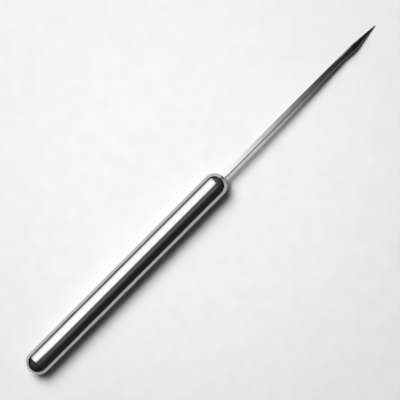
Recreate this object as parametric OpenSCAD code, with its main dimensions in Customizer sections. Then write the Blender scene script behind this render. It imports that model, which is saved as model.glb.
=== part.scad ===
// Scratch awl for leatherwork: a polished hollow steel handle with two domed caps
// and a slim square blade with a spear point.
// The tool lies along X with its point towards +X. The origin is on the handle's axis,
// halfway along the straight barrel. All lengths are in millimetres.

/* [Handle] */
// Outside diameter of the barrel and of both domed caps
handle_d = 9.5; // [9.3:0.1:14]
// Length of the straight barrel, from one cap's seam to the other's
barrel_len = 92.5; // [75:0.5:120]
// Wall thickness of the handle tube
tube_wall = 0.9; // [0.7:0.05:1.1]
// Depth to which the nose cap's spigot sits in the tube
nose_spigot_len = 20; // [18:0.5:24]
// Depth to which the tail cap's spigot sits in the tube
tail_spigot_len = 10; // [9:0.5:14]

/* [Blade] */
// Side of the blade's square shank
shank_side = 1.8; // [1.4:0.05:2]
// Side of the square section at the spear point's shoulder
shoulder_side = 2.3; // [2.05:0.05:2.6]
// How far the shank's four arrises are stoned back, measured from the sharp corner
shank_easing = 0.07; // [0.02:0.01:0.12]
// How far the shoulder's four arrises are stoned back, measured from the sharp corner
shoulder_easing = 0.15; // [0.02:0.01:0.2]
// How far the shoulder stands out to one side of the tool's axis
shoulder_lean = 0.3; // [0:0.05:0.4]
// Length of blade that stands out of the nose cap
blade_reach = 79.25; // [50:0.25:110]
// Length of the ground point, from its shoulder to the tip
point_len = 11.5; // [8:0.5:16]
// Length over which the shank swells to the shoulder
swell_len = 5.5; // [2:0.5:8]
// Turn of the blade's flats about the tool's axis, in degrees
blade_roll = 65; // [0:1:90]
// Width of the small flat left at the very tip
tip_flat = 0.16; // [0.04:0.02:0.3]

/* [Blade seat] */
// Length of tang held in the brass sleeve
sleeve_len = 12; // [10:0.5:13]
// Outside diameter of the brass sleeve
sleeve_d = 4.1; // [3.8:0.1:4.1]
// Diameter of the entry hole in the nose dome
entry_d = 2.9; // [2.9:0.1:3.4]
// Diameter of the cross pin that locks the tang
pin_d = 1.5; // [1.2:0.1:1.6]
// Depth of the notch that the cross pin bears in, below the tang's flat
notch_depth = 0.45; // [0.3:0.05:0.6]

/* [Tie rod] */
// Outside diameter of the threads
thread_d = 5; // [5:0.1:5.2]
// Distance from one thread crest to the next
thread_pitch = 0.8; // [0.7:0.05:1]
// Diameter of the rod between its threads
rod_d = 4; // [3.6:0.1:4]
// Length of thread at each end of the rod
thread_len = 8; // [6:0.5:9]

/* [Seal rings] */
// Thickness of each seal ring
ring_d = 0.8; // [0.6:0.05:0.9]
// Distance from a cap's seam to the middle of its seal ring
ring_setback = 3; // [2:0.25:4]

/* [Hidden] */

$fn = 96;
clearance = 0.02;  // radial play wherever one piece slides into another
overrun = 1;       // how far a cutter runs past the face it opens

handle_r = handle_d / 2;
tube_r = handle_r - tube_wall;
spigot_r = tube_r - clearance;
seam_x = barrel_len / 2;
nose_x = seam_x + handle_r;

sleeve_front = seam_x - 1.5;
sleeve_back = sleeve_front - sleeve_len;
point_tip_x = nose_x + blade_reach;
shoulder_x = point_tip_x - point_len;
swell_x = shoulder_x - swell_len;

rod_front = sleeve_back;
tail_hole_end = -seam_x - handle_r / 3;
rod_back = tail_hole_end + 0.5;
thread_depth = 0.54 * thread_pitch;

pin_offset = shank_side / 2 - notch_depth + pin_d / 2;
pin_x = (sleeve_front + sleeve_back) / 2;
pin_outer = pin_offset + pin_d / 2;
pin_len = 2 * sqrt(spigot_r * spigot_r - pin_outer * pin_outer) - 2 * clearance;

ring_track_r = tube_r - ring_d / 2;
groove_r = tube_r - ring_d;
groove_w = 1.3 * ring_d;

// A round bar, or a cutter for a round hole, along X from x0 to x1
module bar_x(x0, x1, r) {
    translate([x0, 0, 0]) rotate([0, 90, 0]) cylinder(h = x1 - x0, r = r);
}

// A square bar, or a cutter for a square hole, along X, turned with the blade's flats
module square_bar_x(x0, x1, side) {
    rotate([blade_roll, 0, 0])
        translate([x0, -side / 2, -side / 2])
            cube([x1 - x0, side, side]);
}

// A polished dome whose flat back lies on a seam and whose crown points along dir
module dome(dir) {
    translate([dir * seam_x, 0, 0]) rotate([0, dir * 90, 0])
        rotate_extrude()
            intersection() {
                circle(r = handle_r);
                square(handle_r);
            }
}

// The channel that a seal ring sits in, cut round a spigot
module seal_groove(x) {
    difference() {
        bar_x(x - groove_w / 2, x + groove_w / 2, handle_r);
        bar_x(x - groove_w, x + groove_w, groove_r);
    }
}

// The cross pin, or with a larger radius the cutter for its hole, square to the tool's axis
module cross_pin(r, len) {
    rotate([blade_roll, 0, 0])
        translate([pin_x, 0, pin_offset])
            rotate([90, 0, 0]) cylinder(h = len, r = r, center = true);
}

// A threaded length along X from x0 to x1, as a row of crests at thread_pitch
module threaded_bar_x(x0, x1) {
    crest_r = thread_d / 2;
    root_r = crest_r - thread_depth;
    crests = floor((x1 - x0) / thread_pitch);
    bar_x(x0, x1, root_r);
    for (i = [0 : crests - 1])
        translate([x0 + i * thread_pitch, 0, 0]) rotate([0, 90, 0])
            rotate_extrude()
                polygon([[0, 0], [root_r, 0], [crest_r, 0.45 * thread_pitch],
                         [crest_r, 0.55 * thread_pitch], [root_r, thread_pitch],
                         [0, thread_pitch]]);
}

// One side view of the blade: the shank, the swell, the shoulder and the point. shank_half and
// shoulder_half are half its widths, and lean is how far the shoulder stands off the axis.
module blade_outline(shank_half, shoulder_half, lean, tip_half) {
    polygon([[sleeve_back, -shank_half], [swell_x, -shank_half],
             [shoulder_x, lean - shoulder_half], [point_tip_x, -tip_half],
             [point_tip_x, tip_half], [shoulder_x, lean + shoulder_half],
             [swell_x, shank_half], [sleeve_back, shank_half]]);
}

// The blade's eight long faces, as four side views 45 degrees apart: views 0 and 2 give the
// square's flats, and views 1 and 3, taken from corner to corner, give its eased arrises
module blade_bar() {
    intersection_for(view = [0 : 3]) {
        corner = view % 2;
        across = corner ? sqrt(2) : 1;
        rotate([45 * view, 0, 0])
            linear_extrude(height = handle_d, center = true)
                blade_outline(across * shank_side / 2 - corner * shank_easing,
                              across * shoulder_side / 2 - corner * shoulder_easing,
                              shoulder_lean * sin(45 * view),
                              across * tip_flat / 2);
    }
}

module handle_tube() {
    color("silver")
        difference() {
            bar_x(-seam_x, seam_x, handle_r);
            bar_x(-seam_x - overrun, seam_x + overrun, tube_r);
        }
}

module nose_cap() {
    color("silver")
        difference() {
            union() {
                dome(1);
                bar_x(seam_x - nose_spigot_len, seam_x, spigot_r);
            }
            bar_x(seam_x - overrun, nose_x + overrun, entry_d / 2);
            bar_x(sleeve_back - overrun, sleeve_front, sleeve_d / 2 + clearance);
            bar_x(seam_x - nose_spigot_len - overrun, sleeve_back, thread_d / 2 + clearance);
            cross_pin(pin_d / 2 + clearance, 2 * handle_r);
            seal_groove(seam_x - ring_setback);
        }
}

module tail_cap() {
    color("silver")
        difference() {
            union() {
                dome(-1);
                bar_x(-seam_x, -seam_x + tail_spigot_len, spigot_r);
            }
            bar_x(tail_hole_end, -seam_x + tail_spigot_len + overrun, thread_d / 2 + clearance);
            seal_groove(-seam_x + ring_setback);
        }
}

module blade() {
    color("slategray")
        difference() {
            rotate([blade_roll, 0, 0]) blade_bar();
            cross_pin(pin_d / 2 + clearance, handle_d);
        }
}

module tang_sleeve() {
    color("goldenrod")
        difference() {
            bar_x(sleeve_back, sleeve_front, sleeve_d / 2);
            square_bar_x(sleeve_back - overrun, sleeve_front + overrun,
                         shank_side + 2 * clearance);
            cross_pin(pin_d / 2 + clearance, handle_d);
        }
}

module tang_pin() {
    color("gray") cross_pin(pin_d / 2, pin_len);
}

module tie_rod() {
    color("gray") {
        threaded_bar_x(rod_front - thread_len, rod_front);
        bar_x(rod_back, rod_front, rod_d / 2);
        threaded_bar_x(rod_back, rod_back + thread_len);
    }
}

module seal_rings() {
    color("black")
        for (x = [seam_x - ring_setback, -seam_x + ring_setback])
            translate([x, 0, 0]) rotate([0, 90, 0])
                rotate_extrude() translate([ring_track_r, 0]) circle(d = ring_d - clearance);
}

handle_tube();
nose_cap();
tail_cap();
blade();
tang_sleeve();
tang_pin();
tie_rod();
seal_rings();
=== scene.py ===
"""Studio scene for the scratch awl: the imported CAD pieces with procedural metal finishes, pale
paper that curls up a little under the blade, a soft key light to the tool's left, curved
sheets that only the metal mirrors, and a camera straight above.
All lengths are in metres, in the CAD frame: the tool lies along X with its point at +X."""

import math

import bpy
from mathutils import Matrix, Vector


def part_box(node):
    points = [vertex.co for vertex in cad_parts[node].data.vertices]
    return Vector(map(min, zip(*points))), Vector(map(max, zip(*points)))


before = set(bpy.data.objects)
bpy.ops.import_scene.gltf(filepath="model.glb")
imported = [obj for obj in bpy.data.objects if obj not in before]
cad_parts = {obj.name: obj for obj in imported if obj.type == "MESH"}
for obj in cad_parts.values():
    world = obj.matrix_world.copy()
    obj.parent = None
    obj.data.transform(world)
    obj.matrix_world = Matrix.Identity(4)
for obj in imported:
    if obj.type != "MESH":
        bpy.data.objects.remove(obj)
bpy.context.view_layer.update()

# Places read from the frame
BARREL_LOW, BARREL_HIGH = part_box("handle_tube")
_, BLADE_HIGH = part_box("blade")
_, NOSE_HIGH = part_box("nose_cap")
TAIL_LOW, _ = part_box("tail_cap")
RADIUS = BARREL_HIGH.z
FLOOR_Z = BARREL_LOW.z
BARE_BLADE = BLADE_HIGH.x - NOSE_HIGH.x
TOOL_LENGTH = BLADE_HIGH.x - TAIL_LOW.x
TOOL_MIDDLE_X = (BLADE_HIGH.x + TAIL_LOW.x) / 2

# The picture
VIEW_SIDE = 0.819 * TOOL_LENGTH          # side of the square that the camera frames
VIEW_CORNER = VIEW_SIDE / math.sqrt(2)   # from the picture's middle to its corner
CAMERA_HEIGHT = 0.6
CAMERA_SHIFT = (-0.001, 0.00016)         # from above the tool's middle
CAMERA_TURN = -45                        # degrees; it puts the point at the upper right
SENSOR_WIDTH = 36                        # in millimetres, as Blender counts it

# The blade's shoulder, beside which a highlight is painted along the left arris of the upper
# flat.
# The painted stretch is given in shares of the bare blade, counted from the shoulder.
POINT_SHARE = 0.145                      # of the bare blade
SHOULDER_X = BLADE_HIGH.x - POINT_SHARE * BARE_BLADE
SHANK_HALF = 0.0009                      # half the side of the square shank
FLAT_LEAN = math.radians(25)             # how far the upper flat leans to the tool's left
ARRIS_HIGHLIGHT_WIDTH = 0.0009
ARRIS_HIGHLIGHT_GREY = 0.95
ARRIS_HIGHLIGHT_FROM, ARRIS_HIGHLIGHT_FULL_FROM, ARRIS_HIGHLIGHT_FULL_TO, ARRIS_HIGHLIGHT_TO = -0.14, -0.04, 0.01, 0.07

# Finishes: the range that noise usually keeps to, and the height that its relief is given
NOISE_LOW, NOISE_HIGH = 0.3, 0.7
NOISE_ROUGHNESS = 0.6
POLISHED_RELIEF = 0.0000009
GROUND_RELIEF = 0.000003
TURNED_RELIEF = 0.0000036
RUBBER_RELIEF = 0.000005
SEAM_CORE, SEAM_EDGE = 0.00001, 0.00003  # from a seam's middle: where it starts to fade and ends
OUTER_SKIN = 0.99                        # share of the radius beyond which a point is outside


# ---------------------------------------------------------------- node helpers

def new_material(name):
    """An empty node material and its tree."""
    material = bpy.data.materials.new(name)
    material.use_nodes = True
    material.node_tree.nodes.clear()
    return material, material.node_tree


def add(tree, kind, **settings):
    """A node of this kind, with its properties set from settings."""
    node = tree.nodes.new(kind)
    for key, value in settings.items():
        setattr(node, key, value)
    return node


def link(tree, source, target):
    """Wires the socket source to the socket target."""
    tree.links.new(source, target)


def show(tree, shader, output_kind="ShaderNodeOutputMaterial"):
    """Wires a shader to the tree's output."""
    output = add(tree, output_kind)
    link(tree, shader, output.inputs["Surface"])


def math_node(tree, operation, a, b=None):
    """The result of a math node. a and b are sockets or numbers."""
    node = add(tree, "ShaderNodeMath", operation=operation)
    for socket, value in zip(node.inputs, (a, b)):
        if value is None:
            continue
        if isinstance(value, (int, float)):
            socket.default_value = value
        else:
            link(tree, value, socket)
    return node.outputs[0]


def product(tree, first, *others):
    """All the values multiplied together."""
    result = first
    for other in others:
        result = math_node(tree, "MULTIPLY", result, other)
    return result


def weighted_sum(tree, *terms):
    """The sum of (value, weight) terms."""
    total = None
    for value, weight in terms:
        term = math_node(tree, "MULTIPLY", value, weight)
        total = term if total is None else math_node(tree, "ADD", total, term)
    return total


def map_range(tree, value, from_min, from_max, to_min, to_max, smooth=False):
    """value carried from one range to another, clamped."""
    node = add(tree, "ShaderNodeMapRange", clamp=True)
    node.interpolation_type = "SMOOTHSTEP" if smooth else "LINEAR"
    link(tree, value, node.inputs["Value"])
    for key, number in (("From Min", from_min), ("From Max", from_max),
                        ("To Min", to_min), ("To Max", to_max)):
        node.inputs[key].default_value = number
    return node.outputs["Result"]


def spread(tree, noise, low, high):
    """Noise carried from its usual range to the range from low to high."""
    return map_range(tree, noise, NOISE_LOW, NOISE_HIGH, low, high)


def object_point(tree):
    """The shaded point in the CAD frame."""
    return add(tree, "ShaderNodeTexCoord").outputs["Object"]


def axes(tree, vector):
    """The X, Y and Z of a vector."""
    split = add(tree, "ShaderNodeSeparateXYZ")
    link(tree, vector, split.inputs[0])
    return split.outputs["X"], split.outputs["Y"], split.outputs["Z"]


def length_of(tree, vector):
    """How long a vector is."""
    node = add(tree, "ShaderNodeVectorMath", operation="LENGTH")
    link(tree, vector, node.inputs[0])
    return node.outputs["Value"]


def surface_normal(tree):
    """The mesh's own normal at the shaded point."""
    return add(tree, "ShaderNodeNewGeometry").outputs["Normal"]


def stretched_noise(tree, point, cells, detail):
    """Noise with so many cells per metre along X, Y and Z; few of them make long streaks."""
    mapping = add(tree, "ShaderNodeMapping")
    mapping.inputs["Scale"].default_value = cells
    link(tree, point, mapping.inputs["Vector"])
    noise = add(tree, "ShaderNodeTexNoise")
    noise.inputs["Scale"].default_value = 1.0
    noise.inputs["Detail"].default_value = detail
    noise.inputs["Roughness"].default_value = NOISE_ROUGHNESS
    link(tree, mapping.outputs["Vector"], noise.inputs["Vector"])
    return noise.outputs["Fac"]


def mix_colours(tree, factor, first, second):
    """first where factor is 0 and second where it is 1. Both are sockets, greys or RGB."""
    node = add(tree, "ShaderNodeMix", data_type="RGBA")
    link(tree, factor, node.inputs["Factor"])
    for socket, value in ((node.inputs[6], first), (node.inputs[7], second)):
        if isinstance(value, (int, float)):
            socket.default_value = (value, value, value, 1)
        elif isinstance(value, tuple):
            socket.default_value = (*value, 1)
        else:
            link(tree, value, socket)
    return node.outputs[2]


def blend_shaders(tree, factor, first, second):
    """The first shader where factor is 0 and the second where it is 1."""
    node = add(tree, "ShaderNodeMixShader")
    link(tree, factor, node.inputs[0])
    link(tree, first, node.inputs[1])
    link(tree, second, node.inputs[2])
    return node.outputs[0]


def principled(tree, metallic=1.0):
    """A Principled shader wired to the material's output."""
    shader = add(tree, "ShaderNodeBsdfPrincipled")
    shader.inputs["Metallic"].default_value = metallic
    show(tree, shader.outputs["BSDF"])
    return shader


def bump(tree, shader, height, distance, normal=None):
    """Raises the surface by height times distance. normal is the smooth surface's own."""
    node = add(tree, "ShaderNodeBump")
    node.inputs["Distance"].default_value = distance
    link(tree, height, node.inputs["Height"])
    if normal is not None:
        link(tree, normal, node.inputs["Normal"])
    link(tree, node.outputs["Normal"], shader.inputs["Normal"])


# ---------------------------------------------------------------- materials

def handle_normal(tree, x, y, z):
    """The true normal of the handle's round outside, which its triangles only come near to:
    it points away from the axis on the barrel and away from a dome's centre on a cap."""
    nearest_x = add(tree, "ShaderNodeClamp")
    link(tree, x, nearest_x.inputs["Value"])
    nearest_x.inputs["Min"].default_value = BARREL_LOW.x
    nearest_x.inputs["Max"].default_value = BARREL_HIGH.x
    arm = add(tree, "ShaderNodeCombineXYZ")
    link(tree, math_node(tree, "SUBTRACT", x, nearest_x.outputs[0]), arm.inputs["X"])
    link(tree, y, arm.inputs["Y"])
    link(tree, z, arm.inputs["Z"])
    turned = add(tree, "ShaderNodeVectorTransform", vector_type="NORMAL",
                 convert_from="OBJECT", convert_to="WORLD")
    link(tree, arm.outputs[0], turned.inputs[0])

    radius = length_of(tree, arm.outputs[0])
    outside = math_node(tree, "GREATER_THAN", radius, OUTER_SKIN * RADIUS)
    choice = add(tree, "ShaderNodeMix", data_type="VECTOR")
    link(tree, outside, choice.inputs["Factor"])
    link(tree, surface_normal(tree), choice.inputs[4])
    link(tree, turned.outputs[0], choice.inputs[5])
    unit = add(tree, "ShaderNodeVectorMath", operation="NORMALIZE")
    link(tree, choice.outputs[1], unit.inputs[0])
    return unit.outputs["Vector"]


def cap_seams(tree, x):
    """1 on the hairline where each cap meets the barrel, and 0 away from it."""
    from_middle = math_node(tree, "ABSOLUTE", x)
    past_seam = math_node(tree, "SUBTRACT", from_middle, BARREL_HIGH.x)
    return map_range(tree, math_node(tree, "ABSOLUTE", past_seam), SEAM_CORE, SEAM_EDGE, 1.0, 0.0)


def polished_handle():
    """Mirror-polished stainless steel: faint lines left by polishing along the handle, a few
    handling scratches, a trace of haze and a hairline where each cap meets the barrel."""
    material, tree = new_material("polished_handle")
    shader = principled(tree)
    point = object_point(tree)
    x, y, z = axes(tree, point)
    haze = stretched_noise(tree, point, (60, 160, 160), detail=4)
    streaks = stretched_noise(tree, point, (12, 1700, 1700), detail=3)
    hairlines = stretched_noise(tree, point, (90, 9000, 9000), detail=2)
    waves = stretched_noise(tree, point, (45, 260, 260), detail=2)
    nicks = stretched_noise(tree, point, (700, 5200, 1500), detail=2)
    seam = cap_seams(tree, x)

    shade = map_range(tree, streaks, 0.36, 0.64, 0.0, 1.0)
    steel = mix_colours(tree, shade, (0.455, 0.455, 0.458), (0.535, 0.535, 0.538))
    seam_grey = 0.10
    link(tree, mix_colours(tree, seam, steel, seam_grey), shader.inputs["Base Color"])

    polish = spread(tree, haze, 0.03, 0.07)
    scratch = map_range(tree, hairlines, 0.62, 0.8, 0.0, 0.06)
    nick = map_range(tree, nicks, 0.70, 0.76, 0.0, 0.16)
    roughness = weighted_sum(tree, (polish, 1.0), (scratch, 1.0), (nick, 1.0), (seam, 0.3))
    link(tree, roughness, shader.inputs["Roughness"])

    relief = weighted_sum(tree, (streaks, 14.0), (hairlines, 1.0), (waves, 36.0), (seam, -12.0))
    bump(tree, shader, relief, POLISHED_RELIEF, handle_normal(tree, x, y, z))
    return material


def painted_arris_highlight(tree, x, y, z):
    """1 on the left arris of the blade's upper flat beside the point's shoulder, where a
    highlight is painted in bright steel grey, and 0 away from it."""
    across_flat = weighted_sum(tree, (y, math.cos(FLAT_LEAN)), (z, -math.sin(FLAT_LEAN)))
    arris = map_range(tree, x, SHOULDER_X, BLADE_HIGH.x, SHANK_HALF, 0.0)
    inwards = math_node(tree, "SUBTRACT", arris, across_flat)
    near_arris = map_range(tree, inwards, 0.0, ARRIS_HIGHLIGHT_WIDTH, 1.0, 0.0, smooth=True)
    _, _, upwards = axes(tree, surface_normal(tree))
    on_top = map_range(tree, upwards, 0.2, 0.5, 0.0, 1.0)
    begins = map_range(tree, x, SHOULDER_X + ARRIS_HIGHLIGHT_FROM * BARE_BLADE,
                       SHOULDER_X + ARRIS_HIGHLIGHT_FULL_FROM * BARE_BLADE, 0.0, 1.0)
    ends = map_range(tree, x, SHOULDER_X + ARRIS_HIGHLIGHT_FULL_TO * BARE_BLADE,
                     SHOULDER_X + ARRIS_HIGHLIGHT_TO * BARE_BLADE, 1.0, 0.0)
    return product(tree, near_arris, on_top, begins, ends)


def blade_steel():
    """Fine-ground tool steel, painted bright at the handle and dark towards the point: painted
    shade for its reflections, which dim along the blade.
    """
    material, tree = new_material("blade_steel")
    shader = principled(tree)
    point = object_point(tree)
    x, y, z = axes(tree, point)
    cloud = stretched_noise(tree, point, (260, 700, 700), detail=4)
    grinding = stretched_noise(tree, point, (220, 5200, 5200), detail=3)
    speckle = stretched_noise(tree, point, (2600, 3600, 3600), detail=3)

    # Painted shade: the steel's colour darkens along the blade towards the point, with an uneven
    # edge.
    uneven = spread(tree, cloud, -0.04 * BARE_BLADE, 0.04 * BARE_BLADE)
    shaded_x = math_node(tree, "ADD", x, uneven)
    painted_shade = map_range(tree, shaded_x, NOSE_HIGH.x - 0.04 * BARE_BLADE,
                         NOSE_HIGH.x + 0.85 * BARE_BLADE, 0.0, 1.0, smooth=True)
    grain = weighted_sum(tree, (speckle, 0.6), (grinding, 0.4))
    bright = mix_colours(tree, grain, 0.40, 0.72)
    dark = mix_colours(tree, grain, 0.025, 0.055)
    steel = mix_colours(tree, painted_shade, bright, dark)
    # Painted highlight: bright steel grey along the left arris by the point's shoulder.
    link(tree, mix_colours(tree, painted_arris_highlight(tree, x, y, z), steel, ARRIS_HIGHLIGHT_GREY),
         shader.inputs["Base Color"])
    link(tree, spread(tree, grain, 0.30, 0.42), shader.inputs["Roughness"])
    bump(tree, shader, math_node(tree, "ADD", grinding, speckle), GROUND_RELIEF)
    return material


def turned_metal(name, ring_cells, stain_cells, colours, roughness):
    """Metal turned on a lathe: fine rings round the tool's axis under an uneven stain."""
    material, tree = new_material(name)
    shader = principled(tree)
    point = object_point(tree)
    rings = stretched_noise(tree, point, ring_cells, detail=2)
    stain = stretched_noise(tree, point, stain_cells, detail=4)
    link(tree, mix_colours(tree, stain, *colours), shader.inputs["Base Color"])
    link(tree, spread(tree, rings, *roughness), shader.inputs["Roughness"])
    bump(tree, shader, rings, TURNED_RELIEF)
    return material


def sleeve_brass():
    """Turned brass, a little tarnished."""
    return turned_metal("sleeve_brass", (9000, 60, 60), (400, 400, 400),
                        ((0.50, 0.33, 0.12), (0.80, 0.60, 0.28)), (0.18, 0.36))


def inner_steel():
    """Plain turned steel with a film of oil, for the pieces inside the handle."""
    return turned_metal("inner_steel", (8000, 80, 80), (300, 300, 300),
                        ((0.34, 0.34, 0.35), (0.52, 0.52, 0.53)), (0.28, 0.45))


def seal_rubber():
    """Matt black rubber with a faint bloom."""
    material, tree = new_material("seal_rubber")
    shader = principled(tree, metallic=0.0)
    bloom = stretched_noise(tree, object_point(tree), (900, 900, 900), detail=4)
    link(tree, mix_colours(tree, bloom, 0.012, 0.045), shader.inputs["Base Color"])
    link(tree, spread(tree, bloom, 0.55, 0.8), shader.inputs["Roughness"])
    bump(tree, shader, bloom, RUBBER_RELIEF)
    return material


FINISH_OF_NODE = {
    "handle_tube": polished_handle,
    "nose_cap": polished_handle,
    "tail_cap": polished_handle,
    "blade": blade_steel,
    "tang_sleeve": sleeve_brass,
    "tang_pin": inner_steel,
    "tie_rod": inner_steel,
    "seal_rings": seal_rubber,
}


def dress_nodes():
    """Gives each CAD node its finish. Nodes with the same finish share one material."""
    made = {}
    for name, finish in FINISH_OF_NODE.items():
        if finish not in made:
            made[finish] = finish()
        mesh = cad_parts[name].data
        mesh.materials.clear()
        mesh.materials.append(made[finish])


# ---------------------------------------------------------------- studio

# Curved sheets stand round the tool like one side of a light tent: the key light falls on the
# paper alone, and the sheen and the spills are seen by the metal alone. Places on a sheet are
# degrees from straight up, counted towards the tool's left (+Y). Levels are radiances. A reach
# is how far a sheet runs past the handle's tail and nose, in shares of the sheet's radius.
KEY_RADIUS = 1.4
KEY_REACH = (0.17, 0.30)
KEY_FROM, KEY_PEAK_FROM, KEY_PEAK_TO, KEY_TO = 11, 28, 31, 58
KEY_LEVEL = 17.0

SHEEN_RADIUS = 0.13
SHEEN_REACH = (0.22, 0.45)
SHEEN_FROM, SHEEN_FULL_FROM, SHEEN_FULL_TO, SHEEN_TO = -2, 25, 51, 91
SHEEN_LEVEL = 2.3
SHEEN_END_LEVEL = 0.42                   # share of it left at the sheet's end past the nose
GLOW_FROM, GLOW_FULL, GLOW_LEVEL = -40, -17, 0.205   # a faint glow on the sheen's far side
DIP_FROM, DIP_FULL, DIP_LEVEL = -14, -5, 0.7         # and the share of it left nearer the sheen
TAIL_CORNER = 0.03                       # length over which the sheen's tail end is rounded off
TAIL_RETREAT = 22                        # degrees by which its bright edge draws back there

SPILT_FROM, SPILT_FULL = -75, 25         # the dim light past both ends of the sheen
TAIL_SPILL, NOSE_SPILL = 0.08, 0.13      # its levels
SPILT_LENGTH = 0.26

STRIP_LEFT, STRIP_RIGHT = 0.047, -0.08   # where the low dark strip round the tool crosses Y
STRIP_PAST_ENDS = 0.047                  # how far it runs past the tool's ends
STRIP_HEIGHT = 0.009
STRIP_GREY = 0.01

DARK_ROOM = 0.03                         # radiance of everything that the sheets leave dark
PALE_WALL = 0.82                         # what the camera sees behind the floor

PAPER_GREY = 0.86
CORNER_GREY = 0.785                      # the paper's grey at the picture's corners, painted darker there as shade
EVEN_TO = 0.3 * VIEW_CORNER              # how far from the tool's middle it keeps its full grey
FADED_AT = 3 * VIEW_CORNER               # where the camera sees only the pale wall's tone
MIRRORED_SHARE = 0.8                     # of its tone that metal mirrors on the tool's right: painted shade in the metal's reflections
PAPER_HALF = 3.0                         # half the side of the sheet of paper
PAPER_GAP = 0.00002                      # below the handle, so that no faces coincide
CURL_FROM_X = NOSE_HIGH.x                # where the paper starts to curl up
CURL_TO_X = BLADE_HIGH.x + 0.12 * BARE_BLADE   # where it is level again
CURL_AT_TIP = 0.955 * RADIUS             # how far it has risen where it passes the blade's tip
CURL_STEPS = 48


def stage_mesh(name, corners, faces, material):
    """A mesh that belongs to the studio and not to the tool."""
    mesh = bpy.data.meshes.new(name)
    mesh.from_pydata(corners, [], faces)
    mesh.materials.append(material)
    thing = bpy.data.objects.new(name, mesh)
    bpy.context.scene.collection.objects.link(thing)
    return thing


def arc_sheet(name, low_x, high_x, radius, from_angle, to_angle, material, steps=48):
    """A sheet from low_x to high_x that is bent in an arc round the tool's axis."""
    corners = []
    for i in range(steps + 1):
        angle = math.radians(from_angle + (to_angle - from_angle) * i / steps)
        y, z = radius * math.sin(angle), radius * math.cos(angle)
        corners += [(low_x, y, z), (high_x, y, z)]
    faces = [(2 * i, 2 * i + 1, 2 * i + 3, 2 * i + 2) for i in range(steps)]
    return stage_mesh(name, corners, faces, material)


def sheet_ends(radius, reach):
    """Where a sheet round the handle starts and ends along X."""
    return TAIL_LOW.x - reach[0] * radius, NOSE_HIGH.x + reach[1] * radius


def paper_height(x):
    """The paper is flat under the handle, curls up under the blade in a parabola and levels
    out past the tip in a shorter one."""
    to_tip = BLADE_HIGH.x - CURL_FROM_X
    past_tip = CURL_TO_X - BLADE_HIGH.x
    before = min(max(x - CURL_FROM_X, 0), to_tip)
    after = min(max(x - BLADE_HIGH.x, 0), past_tip)
    slope_at_tip = 2 * CURL_AT_TIP / to_tip
    rise = CURL_AT_TIP * (before / to_tip) ** 2
    return FLOOR_Z - PAPER_GAP + rise + slope_at_tip * after * (1 - after / (2 * past_tip))


def paper():
    """Matt pale paper with the faintest mottling. Painted shade darkens it a little towards the
    picture's corners and where the metal mirrors it on the tool's right; far away it fades to the
    pale wall."""
    material, tree = new_material("paper_floor")
    point = object_point(tree)
    _, y, _ = axes(tree, point)
    away = length_of(tree, point)
    rays = add(tree, "ShaderNodeLightPath")

    # Painted shade: the paper's grey falls off towards the picture's corners.
    tone = map_range(tree, away, EVEN_TO, VIEW_CORNER, PAPER_GREY, CORNER_GREY, smooth=True)
    mottle = stretched_noise(tree, point, (170, 170, 170), detail=5)
    # Painted shade: the metal mirrors the paper on the tool's right darker than it is.
    right_side = map_range(tree, y, -RADIUS, -0.5 * RADIUS, 1.0, 0.0)
    mirrored = math_node(tree, "MULTIPLY", right_side, rays.outputs["Is Glossy Ray"])
    kept = map_range(tree, mirrored, 0.0, 1.0, 1.0, MIRRORED_SHARE)
    matt = add(tree, "ShaderNodeBsdfDiffuse")
    link(tree, product(tree, tone, spread(tree, mottle, 0.98, 1.02), kept), matt.inputs["Color"])

    wall = add(tree, "ShaderNodeEmission")
    wall.inputs["Color"].default_value = (PALE_WALL, PALE_WALL, PALE_WALL, 1)
    fade = map_range(tree, away, VIEW_CORNER, FADED_AT, 0.0, 1.0, smooth=True)
    fade = math_node(tree, "MULTIPLY", fade, rays.outputs["Is Camera Ray"])
    show(tree, blend_shaders(tree, fade, matt.outputs[0], wall.outputs[0]))
    return material


def paper_floor():
    """The sheet of paper that the tool lies on. Its own origin is at the tool's middle."""
    curl = [CURL_FROM_X + (CURL_TO_X - CURL_FROM_X) * i / CURL_STEPS
            for i in range(CURL_STEPS + 1)]
    rows = [-PAPER_HALF, *curl, PAPER_HALF]
    corners = [(x - TOOL_MIDDLE_X, y, paper_height(x))
               for x in rows for y in (-PAPER_HALF, PAPER_HALF)]
    faces = [(2 * i, 2 * i + 2, 2 * i + 3, 2 * i + 1) for i in range(len(rows) - 1)]
    floor = stage_mesh("floor", corners, faces, paper())
    floor.location.x = TOOL_MIDDLE_X


def glowing(name, strength):
    """A glowing material whose radiance strength() works out from a point's angle and X."""
    material, tree = new_material(name)
    x, y, z = axes(tree, add(tree, "ShaderNodeNewGeometry").outputs["Position"])
    angle = math_node(tree, "DEGREES", math_node(tree, "ARCTAN2", y, z))
    glow = add(tree, "ShaderNodeEmission")
    link(tree, strength(tree, angle, x), glow.inputs["Strength"])
    show(tree, glow.outputs[0])
    return material


def seen_only_in_metal(thing):
    """Hides a studio piece from everything but mirror and glossy reflections."""
    thing.visible_camera = False
    thing.visible_diffuse = False
    thing.visible_shadow = False


def key_light():
    """The soft light that falls on the paper; the metal does not mirror it."""
    def strength(tree, angle, x):
        rise = map_range(tree, angle, KEY_FROM, KEY_PEAK_FROM, 0.0, KEY_LEVEL, smooth=True)
        fall = map_range(tree, angle, KEY_PEAK_TO, KEY_TO, 1.0, 0.0, smooth=True)
        return math_node(tree, "MULTIPLY", rise, fall)
    sheet = arc_sheet("key_light", *sheet_ends(KEY_RADIUS, KEY_REACH), KEY_RADIUS,
                      KEY_FROM, KEY_TO, glowing("key_light", strength))
    sheet.visible_camera = False
    sheet.visible_glossy = False


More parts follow.
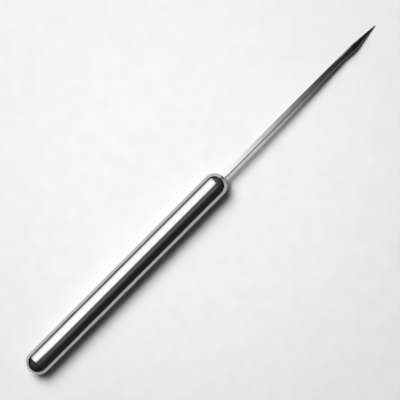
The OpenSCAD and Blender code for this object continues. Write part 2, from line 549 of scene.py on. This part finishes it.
def mirrored_sheet(name, low_x, high_x, from_angle, strength):
    """A curved sheet that only the metal mirrors. strength(tree, angle, x) is its radiance."""
    seen_only_in_metal(arc_sheet(name, low_x, high_x, SHEEN_RADIUS, from_angle, SHEEN_TO,
                                 glowing(name, strength)))


def spilt_level(tree, angle, level):
    """Radiance of the spilt light, which is dim on the far side and full on the near one."""
    return map_range(tree, angle, SPILT_FROM, SPILT_FULL, 0.0, level)


def sheen_fall(tree, angle):
    """How the mirrored sheets dim towards their lower edge."""
    return map_range(tree, angle, SHEEN_FULL_TO, SHEEN_TO, 1.0, 0.0)


def sheen_across(tree, angle, x):
    """Radiance of the sheen across its arc: bright on the near side, with a faint glow on the
    far side. At the tail the bright edge draws back and the glow fades into the spilt light."""
    tail_x, _ = sheet_ends(SHEEN_RADIUS, SHEEN_REACH)
    corner = map_range(tree, x, tail_x, tail_x + TAIL_CORNER, 1.0, 0.0)
    retreat = product(tree, corner, corner, TAIL_RETREAT)
    bright_angle = math_node(tree, "SUBTRACT", angle, retreat)
    rise = map_range(tree, bright_angle, SHEEN_FROM, SHEEN_FULL_FROM, 0.0, SHEEN_LEVEL,
                     smooth=True)
    glow = map_range(tree, angle, GLOW_FROM, GLOW_FULL, 0.0, GLOW_LEVEL, smooth=True)
    dip = map_range(tree, angle, DIP_FROM, DIP_FULL, 1.0, DIP_LEVEL)
    glow = product(tree, glow, dip, math_node(tree, "SUBTRACT", 1.0, corner))
    glow = math_node(tree, "MAXIMUM", glow, spilt_level(tree, angle, TAIL_SPILL))
    return math_node(tree, "MULTIPLY", math_node(tree, "ADD", rise, glow),
                     sheen_fall(tree, angle))


def sheen():
    """What the polished metal mirrors: a bright sheet along the handle that dims past its
    nose."""
    first_x, last_x = sheet_ends(SHEEN_RADIUS, SHEEN_REACH)
    for name, low_x, high_x, end_level in (
            ("handle_sheen", first_x, BARREL_HIGH.x, 1.0),
            ("blade_sheen", BARREL_HIGH.x, last_x, SHEEN_END_LEVEL)):
        def strength(tree, angle, x):
            along = map_range(tree, x, low_x, high_x, 1.0, end_level)
            return math_node(tree, "MULTIPLY", sheen_across(tree, angle, x), along)
        mirrored_sheet(name, low_x, high_x, GLOW_FROM, strength)


def spilt_light():
    """The dim, wide light that spills past both ends of the sheen."""
    first_x, last_x = sheet_ends(SHEEN_RADIUS, SHEEN_REACH)
    for name, low_x, high_x, level in (
            ("tail_spill", first_x - SPILT_LENGTH, first_x, TAIL_SPILL),
            ("nose_spill", last_x, last_x + SPILT_LENGTH, NOSE_SPILL)):
        def strength(tree, angle, x):
            return math_node(tree, "MULTIPLY", spilt_level(tree, angle, level),
                             sheen_fall(tree, angle))
        mirrored_sheet(name, low_x, high_x, SPILT_FROM, strength)


def dark_strip(steps=24):
    """A low dark strip standing on the paper all round the tool, which keeps the metal from
    mirroring the far paper and gives its lower edges a dark line."""
    material, tree = new_material("dark_strip")
    black = add(tree, "ShaderNodeBsdfDiffuse")
    black.inputs["Color"].default_value = (STRIP_GREY, STRIP_GREY, STRIP_GREY, 1)
    show(tree, black.outputs[0])
    middle_y = (STRIP_LEFT + STRIP_RIGHT) / 2
    half_y = (STRIP_LEFT - STRIP_RIGHT) / 2
    corners = []
    for end_x, side in ((BLADE_HIGH.x, 1), (TAIL_LOW.x, -1)):
        for i in range(steps + 1):
            turn = math.pi * i / steps
            x = end_x + side * STRIP_PAST_ENDS * math.sin(turn)
            y = middle_y + side * half_y * math.cos(turn)
            corners += [(x, y, FLOOR_Z), (x, y, FLOOR_Z + STRIP_HEIGHT)]
    count = len(corners)
    faces = [(i, i + 1, (i + 3) % count, (i + 2) % count) for i in range(0, count, 2)]
    seen_only_in_metal(stage_mesh("dark_strip", corners, faces, material))


def background(tree, level):
    """A white background shader of this radiance."""
    node = add(tree, "ShaderNodeBackground")
    node.inputs["Color"].default_value = (1, 1, 1, 1)
    node.inputs["Strength"].default_value = level
    return node.outputs[0]


def studio_world():
    """A dim room for light and reflections, and a pale wall for the camera."""
    world = bpy.data.worlds.new("studio")
    world.use_nodes = True
    tree = world.node_tree
    tree.nodes.clear()
    seen = add(tree, "ShaderNodeLightPath").outputs["Is Camera Ray"]
    room = blend_shaders(tree, seen, background(tree, DARK_ROOM), background(tree, PALE_WALL))
    show(tree, room, "ShaderNodeOutputWorld")
    bpy.context.scene.world = world


def overhead_camera():
    """A long lens straight above the tool."""
    data = bpy.data.cameras.new("camera")
    data.sensor_width = SENSOR_WIDTH
    data.lens = SENSOR_WIDTH * CAMERA_HEIGHT / VIEW_SIDE
    data.clip_start = 0.01
    camera = bpy.data.objects.new("camera", data)
    camera.location = (TOOL_MIDDLE_X + CAMERA_SHIFT[0], CAMERA_SHIFT[1], CAMERA_HEIGHT)
    camera.rotation_euler = (0, 0, math.radians(CAMERA_TURN))
    bpy.context.scene.collection.objects.link(camera)
    bpy.context.scene.camera = camera


dress_nodes()
paper_floor()
key_light()
sheen()
spilt_light()
dark_strip()
studio_world()
overhead_camera()
bpy.context.scene.view_settings.view_transform = "Standard"
